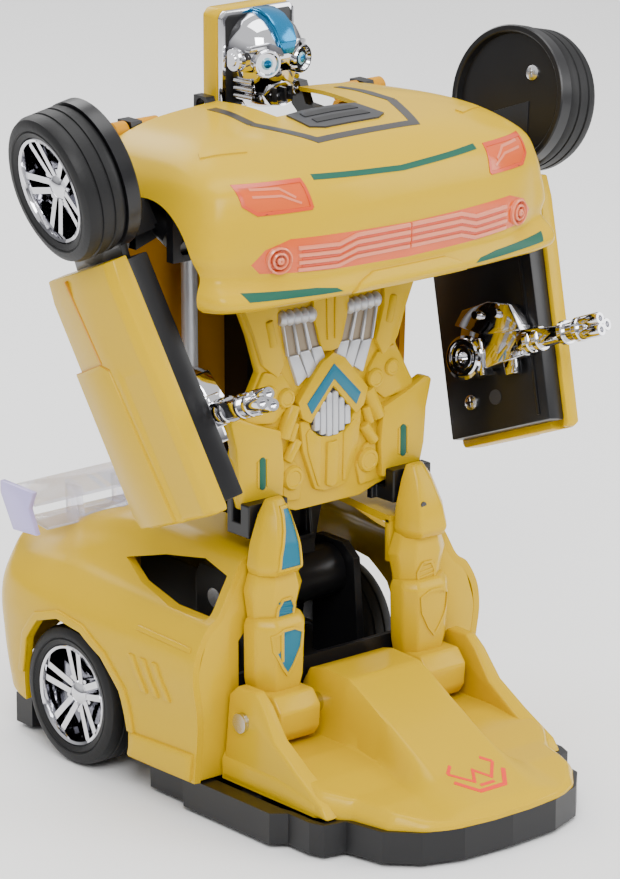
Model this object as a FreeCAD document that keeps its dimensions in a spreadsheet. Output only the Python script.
# Transforming robot car, shown standing as a robot.  Millimetres, +Z up, -Y is the front.
# Everything is laid out from the ankle datum and then moved back by mid_y, so that the
# origin sits on the floor under the middle of the whole toy.
import FreeCAD
import Part
import Sketcher
import os
import re

V = FreeCAD.Vector
DOC = FreeCAD.newDocument("TransformingCar")
SHEET = DOC.addObject("Spreadsheet::Sheet", "Dims")
NODES = []

DIMS = {
    "mid_y": (50.5, "front datum to the middle of the length"),
    "link_length": (94.0, "pivot spacing of both folding links"),
    "mast_y": (62.0, "mast foot pivot, depth"),
    "mast_z": (40.0, "mast foot pivot, height"),
    "mast_top": (134.0, "mast head pivot, height"),
    "mast_half": (9.6, "half width of the mast column"),
    "ankle_y": (34.0, "ankle pivot, depth"),
    "ankle_z": (22.0, "ankle pivot, height"),
    "pin_radius": (2.2, "main pivot pins"),
    "bore_radius": (2.25, "main pivot bores"),
    "tray_low": (1.0, "underside of the base tray"),
    "tray_floor": (2.6, "upper face of the tray floor"),
    "tray_top": (8.0, "rim of the base tray"),
    "shoe_top": (15.5, "flat of the foot shell"),
    "tongue_half": (12.0, "half width of the foot tongue"),
    "wheel_y": (84.6, "rear axle, depth"),
    "wheel_z": (16.2, "rear axle, height"),
    "wheel_radius": (16.2, "rear tyre radius"),
    "rim_radius": (12.0, "rim radius"),
    "tyre_in": (30.2, "inner face of the rear tyre"),
    "tyre_out": (42.0, "outer face of the rear tyre"),
    "axle_radius": (2.0, "rear axle"),
    "cell_radius": (7.1, "dry cell radius"),
    "cell_half": (25.2, "dry cell half length"),
    "cell_z": (10.0, "dry cell height"),
    "deck_low": (17.6, "underside of the battery deck"),
    "deck_top": (19.2, "top of the battery deck"),
    "roof_y": (71.0, "roof hinge, depth"),
    "roof_z": (146.0, "roof hinge, height"),
    "head_y": (70.0, "head hinge, depth"),
    "head_z": (149.0, "head hinge, height"),
    "head_half": (10.4, "half width of the head box"),
    "front_radius": (16.0, "dummy front wheel radius"),
    "arm_half": (15.5, "half width of the arm panel"),
    "arm_deep": (4.8, "outer face of the arm panel"),
    "hand_pin": (2.0, "blaster pivot pin"),
    "turn_radius": (14.0, "drive turntable radius"),
    "drive_radius": (6.0, "drive wheel radius"),
    "plate_back": (47.0, "rear face of the torso"),
    "plate_mid": (45.2, "joint of torso front and back"),
    "wall": (1.8, "shell wall"),
}


def fill_sheet():
    for row, (name, (size, note)) in enumerate(DIMS.items(), start=1):
        SHEET.set(f"A{row}", name)
        SHEET.set(f"B{row}", str(size))
        SHEET.set(f"C{row}", note)
        SHEET.setAlias(f"B{row}", name)
    DOC.recompute()


def size_of(value):
    """Number behind a size given as a number, an alias or a negated alias."""
    if isinstance(value, str):
        if value.startswith("-"):
            return -DIMS[value[1:]][0]
        return DIMS[value][0]
    return float(value)


def formula(value):
    return re.sub(r"[a-z]+_[a-z_]+|wall", lambda m: "Dims." + m.group(0), str(value))


def bind(obj, prop, value):
    obj.setExpression(prop, formula(value))


def box(x, y, z):
    obj = DOC.addObject("Part::Box", "Block")
    for prop, side, (low, high) in zip(("Length", "Width", "Height"), "xyz", (x, y, z)):
        bind(obj, prop, f"({high}) - ({low})")
        bind(obj, f"Placement.Base.{side}", low)
    return obj


TURN = {
    "x": FreeCAD.Rotation(V(0, 1, 0), 90),
    "y": FreeCAD.Rotation(V(1, 0, 0), -90),
    "z": FreeCAD.Rotation(),
}


def rod(axis, at, radius, low, high):
    """Cylinder along an axis; 'at' gives the other two coordinates in order."""
    obj = DOC.addObject("Part::Cylinder", "Rod")
    others = [side for side in "xyz" if side != axis]
    obj.Placement = FreeCAD.Placement(V(), TURN[axis])
    bind(obj, "Radius", radius)
    bind(obj, "Height", f"({high}) - ({low})")
    bind(obj, f"Placement.Base.{axis}", low)
    for side, value in zip(others, at):
        bind(obj, f"Placement.Base.{side}", value)
    return obj


def flip(value):
    if isinstance(value, str):
        return value[1:] if value.startswith("-") else "-" + value
    return -value


def sym(half):
    """Close a half outline with its mirror image across the first coordinate."""
    return half + [(flip(a), b) for a, b in reversed(half) if a != 0]


def sketch_on(body, plane, points):
    sk = body.newObject("Sketcher::SketchObject", "Outline")
    face = [f for f in body.Origin.OriginFeatures if f.Role == plane + "_Plane"][0]
    sk.AttachmentSupport = [(face, "")]
    sk.MapMode = "FlatFace"
    spots = [V(size_of(a), size_of(b), 0) for a, b in points]
    count = len(spots)
    for i in range(count):
        sk.addGeometry(Part.LineSegment(spots[i], spots[(i + 1) % count]), False)
    for i in range(count):
        sk.addConstraint(Sketcher.Constraint("Coincident", i, 2, (i + 1) % count, 1))
    for i in range(count):
        for kind, value, spot in zip("XY", points[i], spots[i]):
            rule = Sketcher.Constraint("Distance" + kind, -1, 1, i, 1, spot)
            number = sk.addConstraint(rule)
            if isinstance(value, str):
                sk.setExpression(f"Constraints[{number}]", formula(value))
    return sk


def prism(plane, points, low, high):
    """Pad of an outline; low and high are measured along the third axis."""
    body = DOC.addObject("PartDesign::Body", "Prism")
    sk = sketch_on(body, plane, points)
    start = f"-({high})" if plane == "XZ" else low
    bind(sk, "AttachmentOffset.Base.z", start)
    pad = body.newObject("PartDesign::Pad", "Pad")
    pad.Profile = sk
    bind(pad, "Length", f"({high}) - ({low})")
    sk.Visibility = False
    return body


def skin(sections):
    """Ruled loft through equal-length loops of points."""
    obj = DOC.addObject("Part::Feature", "Skin")
    wires = [Part.makePolygon([V(*p) for p in loop + loop[:1]]) for loop in sections]
    obj.Shape = Part.makeLoft(wires, True, True)
    return obj


def fuse(*parts):
    if len(parts) == 1:
        return parts[0]
    obj = DOC.addObject("Part::MultiFuse", "Union")
    obj.Shapes = list(parts)
    return obj


def cut(base, *tools):
    obj = DOC.addObject("Part::Cut", "Cut")
    obj.Base = base
    obj.Tool = fuse(*tools)
    return obj


def common(first, second):
    obj = DOC.addObject("Part::Common", "Common")
    obj.Base = first
    obj.Tool = second
    return obj


def mirror(source):
    obj = DOC.addObject("Part::Mirroring", "Mirror")
    obj.Source = source
    obj.Normal = V(1, 0, 0)
    return obj


def both(part):
    return fuse(part, mirror(part))


def spun(profile, axis, at):
    """Solid of revolution of (radius, along) points about a line parallel to an axis."""
    obj = DOC.addObject("Part::Feature", "Spun")
    loop = [V(r, 0, a) for r, a in profile + profile[:1]]
    shape = Part.Face(Part.makePolygon(loop)).revolve(V(), V(0, 0, 1), 360)
    obj.Shape = shape
    obj.Placement = FreeCAD.Placement(V(*at), TURN[axis])
    return obj


def node(label, source):
    """Final named piece, carrying its own placement."""
    obj = DOC.addObject("Part::Compound", "Piece")
    obj.Links = [source]
    obj.Label = label
    bind(obj, "Placement.Base.y", "-mid_y")
    NODES.append(obj)
    return obj


def pair(stem, source):
    node(stem + "_left", source)
    node(stem + "_right", mirror(source))


# ---------------------------------------------------------------- base of the toy
TRAY = [(0, -17), (13, -16.3), (22, -13), (28, -7), (30, 2.5), (35, 3.6), (36.3, 7),
        (36.3, 14), (39.4, 16.5), (39.4, 46), (37.5, 48), (37.5, 60), (28.7, 62), (28.7, 105), (35, 107), (35, 113)]
TRAY_INSIDE = [(0, -15.4), (12.4, -14.8), (21, -11.7), (26.5, -6.2), (28.4, 4.1), (34, 5.2),
               (34.7, 7.4), (34.7, 14.3), (35.4, 17.3), (35.4, 46), (35.4, 48), (35.9, 58.4), (27.1, 60.4),
               (27.1, 106.6), (33.4, 108.6), (33.4, 111.4)]
SCREW_SPOTS = [(25, -2), (32, 30), (22, 102)]


def build_tray():
    shell = cut(prism("XY", sym(TRAY), "tray_low", "tray_top"),
                prism("XY", sym(TRAY_INSIDE), "tray_floor", 9))
    posts = [both(rod("z", spot, 3.2, "tray_floor", 7.4)) for spot in SCREW_SPOTS]
    saddle = box((-5, 5), (21, 30), ("tray_floor", 7.0))
    lip = cut(box((-28.4, 28.4), (34.6, 36.4), ("tray_floor", 6)),
              rod("y", (0, 12), 6.2, 30, 40))
    holes = [both(rod("z", spot, 2.2, 0, 2.2)) for spot in SCREW_SPOTS]
    holes.append(rod("z", (0, 5), "turn_radius + 0.4", 0, 3))
    holes.append(box((-26.2, 26.2), (36.6, 82.4), (0, 3)))
    holes.append(box((8.6, 17.4), (88, 92), (0, 3)))
    for step in range(5):
        holes.append(rod("z", (step * 3 - 12, 99), 0.8, 0, 3))
    node("base_tray", cut(fuse(shell, saddle, lip, *posts), *holes))
    node("base_screws", fuse(*[both(rod("z", spot, 2.2, "tray_low", 2.2)) for spot in SCREW_SPOTS]))


def build_battery():
    flap = box((-26, 26), (36.8, 82.2), ("tray_low", 2.4))
    grip = box((-6, 6), (38.5, 40), (0.6, 1.4))
    node("battery_cover", cut(flap, grip))
    cells = []
    for step in range(3):
        depth = 44.5 + 15 * step
        can = rod("x", (depth, "cell_z"), "cell_radius", "-cell_half", "cell_half - 1.2")
        tip = rod("x", (depth, "cell_z"), 2.6, "cell_half - 1.2", "cell_half")
        cells.append(fuse(can, tip))
    node("battery_cells", fuse(*cells))
    plate = box(("cell_half", "cell_half + 1.4"), (39, 80), (5, 15))
    node("battery_contacts", both(plate))


def build_foot():
    low = [(-28, 2.5, 8), (28, 2.5, 8), (33.8, 6, 8), (33.8, 36.9, 8), (-33.8, 36.9, 8),
           (-33.8, 6, 8)]
    high = [(-24, 4.5, 15.4), (24, 4.5, 15.4), (31.6, 10.5, 15.4), (31.6, 36.9, 15.4),
            (-31.6, 36.9, 15.4), (-31.6, 10.5, 15.4)]
    low_in = [(-26, 4.3, 7.9), (26, 4.3, 7.9), (32.1, 7.6, 7.9), (32.1, 35.3, 7.9),
              (-32.1, 35.3, 7.9), (-32.1, 7.6, 7.9)]
    high_in = [(-22.6, 6.3, 13.8), (22.6, 6.3, 13.8), (30.2, 11.8, 13.8), (30.2, 35.3, 13.8),
               (-30.2, 35.3, 13.8), (-30.2, 11.8, 13.8)]
    tongue = [(-15, 8), (-15.4, 9), (-3, 14), (10, 20.4), (25, 29.5), (35, 29.5), (36.9, 27),
              (36.9, 8)]
    hollow = [(-12, 7.9), (-4.4, 12.4), (10, 18.4), (25.4, 27.8), (34.2, 27.8), (35.3, 26.4),
              (35.3, 7.9)]
    ear = [(4.6, 8.2), (6, 11), (15, 15.6), (23, 20.6), (27.6, 26.8), (30.6, 29.3), (36.8, 29.3),
           (39.4, 27), (39.4, 8.2)]
    toe = [(0, -16.8), (12, -16), (20.5, -12.8), (26.5, -7), (28.6, 2.6)]
    toe_top = [(0, -13), (9, -12.4), (16, -9), (21, -4), (24.4, 2.6)]
    toe_in = [(0, -15.2), (11, -14.4), (19, -11.5), (24.8, -6.2), (26.8, 4.4)]
    toe_top_in = [(0, -11.6), (8, -11.2), (14.6, -8), (19.4, -3.4), (22.2, 4.4)]
    rows = [[(x, y, z) for x, y in sym(half)] for half, z in ((toe, 8), (toe_top, 12.2))]
    rows_in = [[(x, y, z) for x, y in sym(half)] for half, z in ((toe_in, 7.9), (toe_top_in, 10.6))]
    solid = fuse(skin([low, high]), skin(rows), prism("YZ", tongue, "-tongue_half", "tongue_half"),
                 both(prism("YZ", ear, 28.7, 33.6)))
    tools = [skin([low_in, high_in]), skin(rows_in), prism("YZ", hollow, -10.4, 10.4),
             both(rod("x", ("ankle_y", "ankle_z"), 6.6, 14.2, 28.2)),
             rod("x", ("ankle_y", "ankle_z"), "pin_radius", -34, 34)]
    node("foot_shell", cut(solid, *tools))
    node("ankle_pins", both(rod("x", ("ankle_y", "ankle_z"), "pin_radius", 10.4, 33)))


REAR = {
    40.0: [(0, 57.6), (27.1, 56.8), (34.1, 44.8), (37.1, 42.6), (41.2, 32.1), (39.9, 19.6), (41, 8.4)],
    62.0: [(0, 59.2), (27.5, 58.2), (34.6, 46), (37.6, 43), (41.6, 32.5), (40.2, 19.6), (41, 8.4)],
    79.0: [(0, 59), (27, 57.6), (34.5, 47), (38, 43.2), (42, 33), (40.8, 20), (41.2, 9)],
    96.0: [(0, 54.6), (25.5, 53.2), (34, 46.6), (38, 43), (42, 33), (41, 21), (41, 10)],
    110.0: [(0, 48.2), (24, 47.3), (32, 46), (37, 42.6), (40.5, 33), (39.8, 21), (39.5, 11)],
    118.0: [(0, 47), (23.5, 46.2), (30, 45), (34, 41), (38, 32), (37, 22), (36, 14)],
}


def loops(table, inset=0.0, floor=None, first=None, last=None):
    """Turn a table of half sections into full loops, optionally shrunk inwards."""
    result = []
    keys = sorted(table)
    for y in keys:
        half = []
        for x, z in table[y]:
            x = max(x - inset, 0) if x else 0
            half.append((x, z - inset))
        if floor is not None:
            half[-1] = (half[-1][0], floor)
        depth = y
        if y == keys[0] and first is not None:
            depth = first
        if y == keys[-1] and last is not None:
            depth = last
        result.append([(x, depth, z) for x, z in sym(half)])
    return result


def build_rear():
    outer = skin(loops(REAR))
    inner = skin(loops(REAR, 1.8, 5.0, 41.8, 116.4))
    arch = [(62.4, 5), (63.5, 17), (68, 26), (76, 32), (86.6, 33.8), (95, 31), (100.2, 24),
            (101.8, 5)]
    window = [(43, 45.8), (43, 51.6), (51, 52.6), (62, 49.4), (58, 45.8)]
    tools = [inner, both(prism("YZ", arch, 29.5, 50)), both(prism("YZ", window, 24, 50))]
    tools.append(box((-28, 28), (38, 43), (5, 46)))
    tools.append(box((-14.4, 14.4), (38, 72), (40, 64)))
    for step in range(3):
        low = 49 + step * 4.2
        vent = [(low, 27), (low + 3.2, 35), (low + 4.8, 35), (low + 1.6, 27)]
        tools.append(both(prism("YZ", vent, 39.6, 46)))
    node("rear_body_shell", cut(outer, *tools))
    build_spoiler(outer)


def build_spoiler(body):
    upper = box((-40, 40), (99.5, 108.5), (57, 58.4))
    lower = box((-36.5, 36.5), (98.5, 104.5), (51.2, 52.4))
    end = [(98, 50.6), (104.6, 50), (109.4, 57.6), (109.4, 59.4), (99, 59.4)]
    stand = [(100, 45), (106, 45), (106.5, 57.4), (101.5, 57.4)]
    ends = both(prism("YZ", end, 36.4, 40.4))
    slim = both(cut(prism("YZ", end, 36.4, 40.4), prism("YZ", end, 36, 38.9)))
    legs = both(prism("YZ", stand, 20, 22))
    whole = fuse(upper, lower, slim, legs)
    web = both(common(ends, box((36.4, 40.4), (97, 105), (51.2, 52.4))))
    node("spoiler", cut(fuse(whole, web), body))


def build_inner_frame():
    deck = box((-28.4, 28.4), (37.2, 81.5), ("deck_low", "deck_top"))
    tail = box((-28.4, 28.4), (88.5, 106), ("deck_low", "deck_top"))
    side = both(box((27.2, 28.6), (37.2, 106), (8.2, "deck_top")))
    front = box((-27.8, 27.8), (41, 42.4), ("deck_top", 30))
    cheek = [(52, 19), (54, 44), (58, 47), (67, 47), (68.4, 44), (68.4, 19)]
    cheeks = both(prism("YZ", cheek, 15.8, 17.8))
    posts = both(box((29, 35), (43, 58), (8.2, 10)))
    tools = [rod("x", ("wheel_y", "wheel_z"), 2.05, -40, 40),
             rod("x", ("mast_y", "mast_z"), "pin_radius", -30, 30),
             box((-9, 9), (40, 43), (21, 27)),
             both(rod("x", ("ankle_y", "ankle_z"), 6.5, 14, 28.7)),
             both(box((27.8, 28.7), (39.6, 42.2), (8, 19.3)))]
    struts = both(box((28.6, 29.2), (43, 58), (8.2, 16)))
    node("inner_frame", cut(fuse(deck, tail, side, front, cheeks, posts, struts), *tools))
    node("lift_axle", rod("x", ("mast_y", "mast_z"), "pin_radius", -17.8, 17.8))


def build_drives():
    case = prism("YZ", [(69, 19.2), (69, 30), (71, 44), (92, 44), (96, 40), (96, 19.2)], -12, 12)
    node("lift_gearbox", cut(case, box((-13, 13), (74, 90), (42.6, 46))))
    can = rod("y", (0, 31), 9.2, 96, 111)
    node("lift_motor", fuse(can, rod("y", (0, 31), 3, 111, 112.5), box((-6, 6), (98, 110), (19.2, 24))))
    node("circuit_board", box((-22, 22), (43, 51.6), (19.2, 20.8)))
    cone = [(0, 3.2), (5, 2.6), (10.5, 2.6), (11, 5), (7, 8.4), (7, 11), (0, 11)]
    node("speaker", spun(cone, "z", (-6, 99, 0)))
    can = rod("y", (0, 13), 6, 18, 34)
    node("drive_motor", fuse(can, rod("y", (0, 13), 1, 14, 18)))
    disc = fuse(rod("z", (0, 5), "turn_radius", "tray_low", 4.4),
                rod("z", (0, 5), "turn_radius + 1.2", 2.9, 4.4))
    bridge = both(box((3, 4.4), (1, 9), (4.4, 9)))
    slot = both(box((4.6, 9.4), (-2, 12), (0, 5)))
    bore = rod("x", (5, "drive_radius"), 1.05, -11, 11)
    node("drive_turntable", cut(fuse(disc, bridge), slot, bore))
    roller = both(rod("x", (5, "drive_radius"), "drive_radius", 5.1, 8.9))
    node("drive_wheels", fuse(roller, rod("x", (5, "drive_radius"), 1, -8.9, 8.9)))
    knob = fuse(box((9.2, 12.2), (88.3, 91.7), (0.6, 4)), box((7, 14), (86.4, 93.6), (2.8, 4)))
    node("power_switch", knob)


def build_rear_wheels():
    tread = [(12, 30.8), (14.6, 30.2), (15.8, 31), (16.2, 33), (16.2, 39.4), (15.8, 41.2),
             (14.6, 42), (12, 41.4)]
    pair("rear_tyre", spun(tread, "x", (0, 84.6, 16.2)))
    dish = [(2, 34), (4.6, 34), (4.6, 36), (9.6, 36), (9.6, 31), (12, 31), (12, 41), (10.8, 41),
            (9.8, 39.4), (4.2, 38.6), (3.6, 40), (2, 40)]
    holes = []
    for step in range(5):
        spot = FreeCAD.Rotation(V(1, 0, 0), 72 * step).multVec(V(0, 0, 7.1))
        holes.append(rod("x", (84.6 + spot.y, 16.2 + spot.z), 2.1, 30, 44))
    pair("rear_rim", cut(spun(dish, "x", (0, 84.6, 16.2)), *holes))
    node("rear_axle", rod("x", ("wheel_y", "wheel_z"), "axle_radius", -39, 39))


# ---------------------------------------------------------------- leg and torso link
def build_legs():
    shin = [[(14.6, 39.6), (14.6, 34), (20.5, 32), (26.8, 34), (27.4, 37), (27.4, 39.6)],
            [(13.2, 39.6), (13, 35.4), (20, 31.4), (27.8, 35), (28, 38), (28, 39.6)],
            [(12.8, 39.6), (12.8, 35), (19.5, 31), (27.5, 34.6), (28, 38), (28, 39.6)],
            [(14, 39.6), (14, 35.4), (19.8, 32), (26.5, 35), (27, 38), (27, 39.6)]]
    rows = [[(x, y, z) for x, y in loop] for loop, z in zip(shin, (22, 34, 48, 55))]
    knuckle = rod("x", ("ankle_y", "ankle_z"), 6, 14.6, 27.4)
    bore = rod("x", ("ankle_y", "ankle_z"), "bore_radius", 10, 30)
    recess = box((15.8, 25.4), (38.2, 41), (29, 39))
    pair("shin", cut(fuse(skin(rows), knuckle), bore, recess))
    knee = [[(14.4, 39.6), (14.4, 36), (20, 32.4), (26.5, 35.6), (27, 39.6)],
            [(15, 39.6), (15, 35.4), (20, 31.6), (26, 35.2), (26.4, 39.6)],
            [(16.5, 39.6), (16.5, 37.4), (20, 35.6), (23.6, 37.4), (24, 39.6)]]
    rows = [[(x, y, z) for x, y in loop] for loop, z in zip(knee, (55, 59, 69))]
    pair("knee_cap", skin(rows))


def build_torso():
    front = sym([(0, 62.4), (9, 62.4), (14, 64), (25, 66), (28, 75), (24, 86), (20, 95), (22, 104),
                 (26, 114), (24, 117)])
    base = prism("XZ", front, 44, "plate_mid")
    chest = prism("XZ", sym([(0, 97), (11, 101), (19, 112), (18, 116), (0, 116)]), 42.6, 44)
    belly = prism("XZ", sym([(0, 70), (6, 73), (7.6, 79), (6, 85), (9, 92), (0, 95)]), 42.6, 44)
    hips = both(prism("XZ", [(10, 70.6), (26, 70.6), (26.6, 76), (22, 84), (12, 80)], 42.6, 44))
    node("torso_front", fuse(base, chest, belly, hips))
    plate = sym([(0, 63), (13.6, 63), (13.6, 60.6), (26, 60.6), (26, 75), (19, 93), (18, 96),
                 (24, 113), (16, 115)])
    back = prism("XZ", plate, "plate_mid", "plate_back")
    thigh = both(box((15, 26), (39.6, 42.5), (60.6, 68)))
    link = both(box((15, 26), (42.5, "plate_mid"), (60.6, 63.6)))
    window = both(box((5, 12), (44, 48), (100, 108)))
    node("torso_back", cut(fuse(back, thigh, link), window))


# ---------------------------------------------------------------- mast link
def build_mast():
    column = box(("-mast_half", "mast_half"), (60, 68), ("mast_z", 116))
    hub = rod("x", ("mast_y", "mast_z"), 6, -15.4, 15.4)
    bar = box((-15, 15), (60, 67), (108, 117))
    yoke = box((-26, 26), (59.6, 65.6), (69.8, 74))
    ears = both(fuse(box((11.6, 15), (58.4, 66), (116, 134)),
                     rod("x", ("mast_y", "mast_top"), 4.6, 11.6, 15)))
    gusset = both(prism("XZ", [(9.6, 48), (13.4, 64), (13.4, 66), (9.6, 66)], 60, 62))
    tools = [rod("x", ("mast_y", "mast_z"), "bore_radius", -16, 16),
             rod("x", ("mast_y", "mast_top"), "bore_radius", -16, 16),
             both(box((3, 7), (59, 62), (50, 60))), both(box((3, 7), (59, 62), (74, 100))),
             box((-7, 7), (64, 70), (50, 104))]
    node("mast", cut(fuse(column, hub, bar, yoke, ears, gusset), *tools))
    stem = rod("z", (24, "mast_y"), 1.8, 74, 131)
    eye = rod("x", ("mast_y", "mast_top"), 4, 22.2, 25.8)
    bore = rod("x", ("mast_y", "mast_top"), "bore_radius", 20, 28)
    foot = rod("z", (24, "mast_y"), 2.6, 74, 78)
    pair("lift_rod", cut(fuse(stem, eye, foot), bore))


# ---------------------------------------------------------------- chest, head and roof
CHEST = {
    17.3: [(0, 140), (13, 139.8), (24, 139), (30, 136), (31.5, 126), (29, 117.2)],
    21.8: [(0, 142.3), (16, 142), (30, 141.5), (38, 138), (41, 127), (40, 117.2)],
    27.0: [(0, 146.5), (18, 146), (36, 143.5), (44, 139), (48, 127), (48, 117)],
    34.0: [(0, 149.3), (18, 148.8), (38, 146), (45, 141), (48, 129), (48, 116)],
    52.0: [(0, 151.3), (18, 150.6), (39, 147.6), (45.5, 142), (47.5, 130), (47.5, 116)],
    67.8: [(0, 151), (18, 150), (40, 146), (43, 142), (46.5, 131), (46.5, 120)],
}
GRILLE = [(0, 123.2), (20, 123.6), (37, 124.6), (38.8, 126.6), (36, 129.6), (30.5, 131.4), (0, 130.8)]
LAMP = [(24.8, 137.2), (38.2, 137), (41.6, 139.4), (41.8, 142.6), (25.6, 142.8)]
HOOD_PLATE = [(13.9, 30.4), (17.4, 38), (17.4, 43), (14, 45.8)]


def build_chest():
    outer = skin(loops(CHEST))
    inner = skin(loops(CHEST, 1.8, 105.0, 19.1, 69.0))
    wall = cut(outer, inner)
    floor = box((-50, 50), (30, 70), (100, 117.4))
    arch = both(fuse(rod("x", (47, 119), 18.5, 30, 50), rod("x", (54.5, 129.5), 12, 40, 50)))
    slot = fuse(box((-11.3, 11.3), (47.4, 70), (140, 160)), box((-14.6, 14.6), (65.6, 70), (145, 160)))
    grille = prism("XZ", sym(GRILLE), 10, 26)
    lamp = prism("XZ", LAMP, 10, 33)
    hood = prism("XY", HOOD_PLATE + [(-x, y) for x, y in reversed(HOOD_PLATE)], 143, 160)
    bare = cut(wall, floor, arch, slot)
    node("chest_shell", cut(bare, grille, both(lamp), hood))
    node("grille_lens", common(bare, grille))
    pair("headlight", common(bare, lamp))
    node("hood_vent", common(bare, hood))
    build_chest_frame(inner)


def build_chest_frame(cavity):
    deck = common(box((-47, 47), (22, 56), (136.8, 138.8)), cavity)
    deck = cut(deck, box((-12.4, 12.4), (46, 60), (130, 145)))
    cheek = [(38, 138), (38, 134), (56, 131), (59, 129.6), (64, 129.6), (67, 132), (67, 138)]
    cheeks = both(fuse(prism("YZ", cheek, 16.5, 18.5), prism("YZ", cheek, 27, 29)))
    pins = both(rod("x", ("mast_y", "mast_top"), "pin_radius", 11.3, 28))
    lug = [(50, 137), (66, 137), (68.6, 143), (73.6, 143.4), (73.6, 148.2), (69, 148.2),
           (67.4, 143.6), (50, 140)]
    roof_lugs = both(prism("YZ", lug, 31, 34))
    ties = both(box((26, 34), (50, 66), (136.8, 138)))
    lug = [(50, 137), (56, 137), (60, 141.5), (68, 143.4), (72.4, 147), (72.4, 151), (68.2, 151),
           (66, 146.4), (60, 146), (50, 139)]
    head_lugs = both(prism("YZ", lug, 11.9, 14.2))
    blocks = both(box((36, 44), (42, 44.2), (124, 137)))
    back = both(box((36, 42), (58.8, 61.6), (131, 140.6)))
    rails = both(box((34, 42), (55, 61.6), (136.8, 138.8)))
    tools = [both(rod("x", ("roof_y", "roof_z"), 1.55, 30, 35)),
             both(rod("x", ("head_y", "head_z"), 1.55, 11, 15)),
             both(spread_rod(2.05, -9, 12)),
             both(spread_rod(3.7, -4.2, 8.3))]
    frame = fuse(deck, cheeks, pins, roof_lugs, ties, head_lugs, blocks, back, rails)
    node("chest_frame", cut(frame, *tools))
    node("chest_leds", both(rod("y", (33, 134.8), 2.0, 24, 29)))


def build_head():
    outline = [(0, 147.4), (9, 147.4), (10.4, 150), (10.4, 165.6), (7.6, 169.4), (0, 169.4)]
    case = prism("XZ", sym(outline), 68, 74)
    pins = rod("x", ("head_y", "head_z"), 1.5, -14.2, 14.2)
    dome = [[(-8.6, 68, 150.4), (8.6, 68, 150.4), (9, 68, 158), (8.4, 68, 164), (5, 68, 168),
             (-5, 68, 168), (-8.4, 68, 164), (-9, 68, 158)],
            [(-6.4, 62, 151), (6.4, 62, 151), (8.2, 62, 158), (7.4, 62, 163.6), (4, 62, 167),
             (-4, 62, 167), (-7.4, 62, 163.6), (-8.2, 62, 158)],
            [(-3.4, 58.4, 152.4), (3.4, 58.4, 152.4), (5.6, 58.4, 158), (5, 58.4, 162),
             (2.6, 58.4, 165), (-2.6, 58.4, 165), (-5, 58.4, 162), (-5.6, 58.4, 158)]]
    eyes = both(rod("y", (3.3, 160.2), 1.9, 57.6, 60))
    node("head_box", fuse(case, pins))
    node("head_face", cut(skin(dome), eyes))
    node("eye_lenses", eyes)


def build_roof():
    sheet = sym([(0, 130), (16, 130), (24, 144.6), (36.6, 144.6), (38, 142), (38, 74), (36, 72),
                 (0, 72)])
    panel = prism("XZ", sheet, 68.9, 70.7)
    flange = both(prism("YZ", [(68.9, 72), (63, 74), (62, 100), (66, 118), (68.9, 118)], 36.4, 38))
    barrel = both(rod("x", ("roof_y", "roof_z"), 2.2, 25.6, 30.7))
    outer = both(rod("x", ("roof_y", "roof_z"), 2.2, 34.3, 37.6))
    pins = both(rod("x", ("roof_y", "roof_z"), 1.5, 26, 37))
    ribs = both(box((18, 20), (67.4, 68.9), (76, 104)))
    gap = both(box((30.4, 34.6), (68, 72), (141, 146)))
    node("roof_panel", fuse(cut(panel, gap), flange, barrel, outer, pins, ribs))


# ---------------------------------------------------------------- arms, built about the shoulder pivot
UP = V(0.1662, 0.3764, 0.9114)
OUT = V(0.9670, 0.1070, -0.2210)
BACK = UP.cross(OUT)
SHOULDER = V(57.3, 57.4, 129.2)
SPREAD = V(40, 49.5, 130.6)


def arm_frame():
    up = OUT.cross(BACK)
    matrix = FreeCAD.Matrix(BACK.x, up.x, OUT.x, SHOULDER.x, BACK.y, up.y, OUT.y, SHOULDER.y,
                            BACK.z, up.z, OUT.z, SHOULDER.z, 0, 0, 0, 1)
    return FreeCAD.Placement(matrix)


def on_arm(part):
    """Carry a piece drawn in arm axes (back, up, out) to its place beside the chest."""
    obj = DOC.addObject("Part::Compound", "OnArm")
    obj.Links = [part]
    obj.Placement = arm_frame()
    return obj


def spread_rod(radius, low, high):
    obj = DOC.addObject("Part::Cylinder", "SpreadRod")
    along = V(0, 0.9, 0.436)
    turn = FreeCAD.Rotation(V(0, 0, 1), along)
    bind(obj, "Radius", radius)
    obj.Height = high - low
    obj.Placement = FreeCAD.Placement(SPREAD + along * low, turn)
    return obj


def build_shoulder():
    disc = rod("z", (0, 0), 7.6, -8, -3.7)
    pin = rod("z", (0, 0), 2.95, -3.7, -1.7)
    reach = box((-9, -2), (-3.6, 2), (-14, -6))
    ribs = fuse(*[box((-9.4 + 2 * n, -8.6 + 2 * n), (-4.4, 2.4), (-13, -8)) for n in range(4)])
    hand = on_arm(fuse(disc, pin, reach, ribs))
    barrel = spread_rod(3.4, -4.0, 8.0)
    core = spread_rod(2.0, -8.0, 11.0)
    knee = prism("XZ", [(38.5, 129), (47.6, 126), (47.6, 131.4), (38.5, 134)], 50, 56.6)
    pair("shoulder", fuse(hand, barrel, core, knee))


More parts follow.
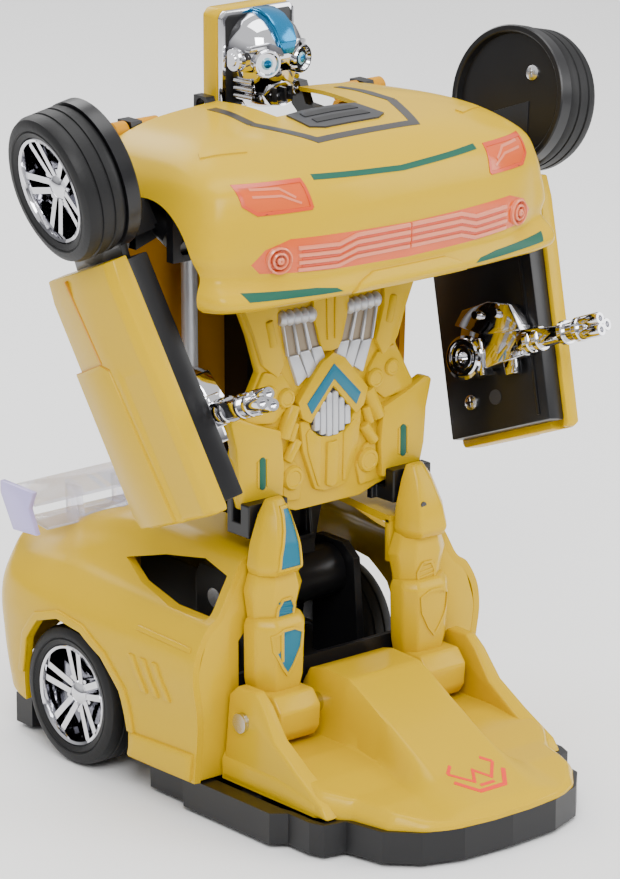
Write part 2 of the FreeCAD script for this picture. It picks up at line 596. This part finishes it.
def build_arm():
    edge = [(-15.6, -62), (-13, -64), (13, -64), (15.4, -61), (15.4, -9), (12, -7), (-12, -7),
            (-15.6, -10)]
    inside = [(-13.8, -61), (-12, -62.2), (12, -62.2), (13.6, -60), (13.6, -10), (11, -8.8),
              (-11, -8.8), (-13.8, -11)]
    shell = cut(prism("XY", edge, -1.5, "arm_deep"), prism("XY", inside, -1.6, 3))
    pair("arm_shell", on_arm(shell))
    plate = fuse(prism("XY", edge, -3.2, -1.6), rod("z", (0, 0), 7.6, -3.2, -1.6),
                 rod("z", (-11.7, 11.1), 13, -3.2, -1.6),
                 prism("XY", [(-12, -8), (8, -8), (7, 4), (-16, 6)], -3.2, -1.6),
                 rod("z", (-3, -40), "hand_pin", -9, -1.6), rod("z", (-11.7, 11.1), 3, -1.6, 3.4),
                 prism("XY", [(-12.6, -20), (-11, -20), (-11, -58), (-12.6, -58)], -3.6, -3.2))
    bore = rod("z", (0, 0), 3.0, -6, 0)
    pair("arm_plate", on_arm(cut(plate, bore)))
    spots = [(10, -14), (10, -57), (-8, -57), (-16, 15), (-7, 7)]
    pair("arm_screws", on_arm(fuse(*[rod("z", spot, 1.5, -3.9, -3.2) for spot in spots])))
    build_front_wheel()


def build_front_wheel():
    centre = (-11.7, 11.1, 0)
    tread = [(11.6, -1.2), (14.6, -1.4), (15.6, -0.6), (16, 1), (16, 6), (15.6, 7.4), (14.6, 8.2),
             (11.6, 7.8)]
    pair("front_tyre", on_arm(spun(tread, "z", centre)))
    dish = [(0, 3.4), (4.6, 3.4), (9.6, 3.4), (9.6, -1), (11.6, -1), (11.6, 7.4), (10.4, 7.4),
            (9.4, 6), (4.2, 5.2), (3.6, 6.4), (0, 6.4)]
    holes = []
    for step in range(5):
        spot = FreeCAD.Rotation(V(0, 0, 1), 72 * step).multVec(V(7.1, 0, 0))
        holes.append(rod("z", (spot.x - 11.7, spot.y + 11.1), 2.1, 2, 8))
    pair("front_rim", on_arm(cut(spun(dish, "z", centre), *holes)))


def build_gun():
    grip = prism("XY", [(-13, -48), (4, -48.6), (6, -44), (3, -36), (-7, -35), (-13, -41)],
                 -8.2, -3.8)
    barrel = rod("x", (-45, -6.1), 2.3, -31, -12)
    drum = rod("z", (1.5, -44.5), 5.0, -9, -3.8)
    nozzles = []
    for step in range(3):
        spot = FreeCAD.Rotation(V(1, 0, 0), 120 * step).multVec(V(0, 0, 1.25))
        nozzles.append(rod("x", (-45 + spot.y, -6.1 + spot.z), 1.15, -34.8, -28))
    bore = rod("z", (-3, -40), 2.05, -10, -2)
    pair("gun", on_arm(cut(fuse(grip, barrel, drum, *nozzles), bore)))


def check_and_export():
    DOC.recompute()
    bad = [o.Label for o in DOC.Objects if "Invalid" in o.State or "Error" in o.State]
    for obj in NODES:
        if obj.Shape.isNull() or not obj.Shape.isValid() or not obj.Shape.Solids:
            bad.append(obj.Label)
    if bad:
        raise RuntimeError("bad objects: " + ", ".join(bad))
    os.makedirs("parts", exist_ok=True)
    for obj in NODES:
        obj.Shape.exportStep("parts/" + obj.Label + ".step")
        limits = obj.Shape.BoundBox
        print(f"{obj.Label:18s} solids {len(obj.Shape.Solids)} volume {obj.Shape.Volume:9.1f}"
              f"  x {limits.XMin:.1f} {limits.XMax:.1f}  y {limits.YMin:.1f} {limits.YMax:.1f}"
              f"  z {limits.ZMin:.1f} {limits.ZMax:.1f}")


fill_sheet()
build_tray()
build_battery()
build_foot()
build_rear()
build_inner_frame()
build_drives()
build_rear_wheels()
build_legs()
build_torso()
build_mast()
build_chest()
build_head()
build_roof()
build_shoulder()
build_arm()
build_gun()
check_and_export()
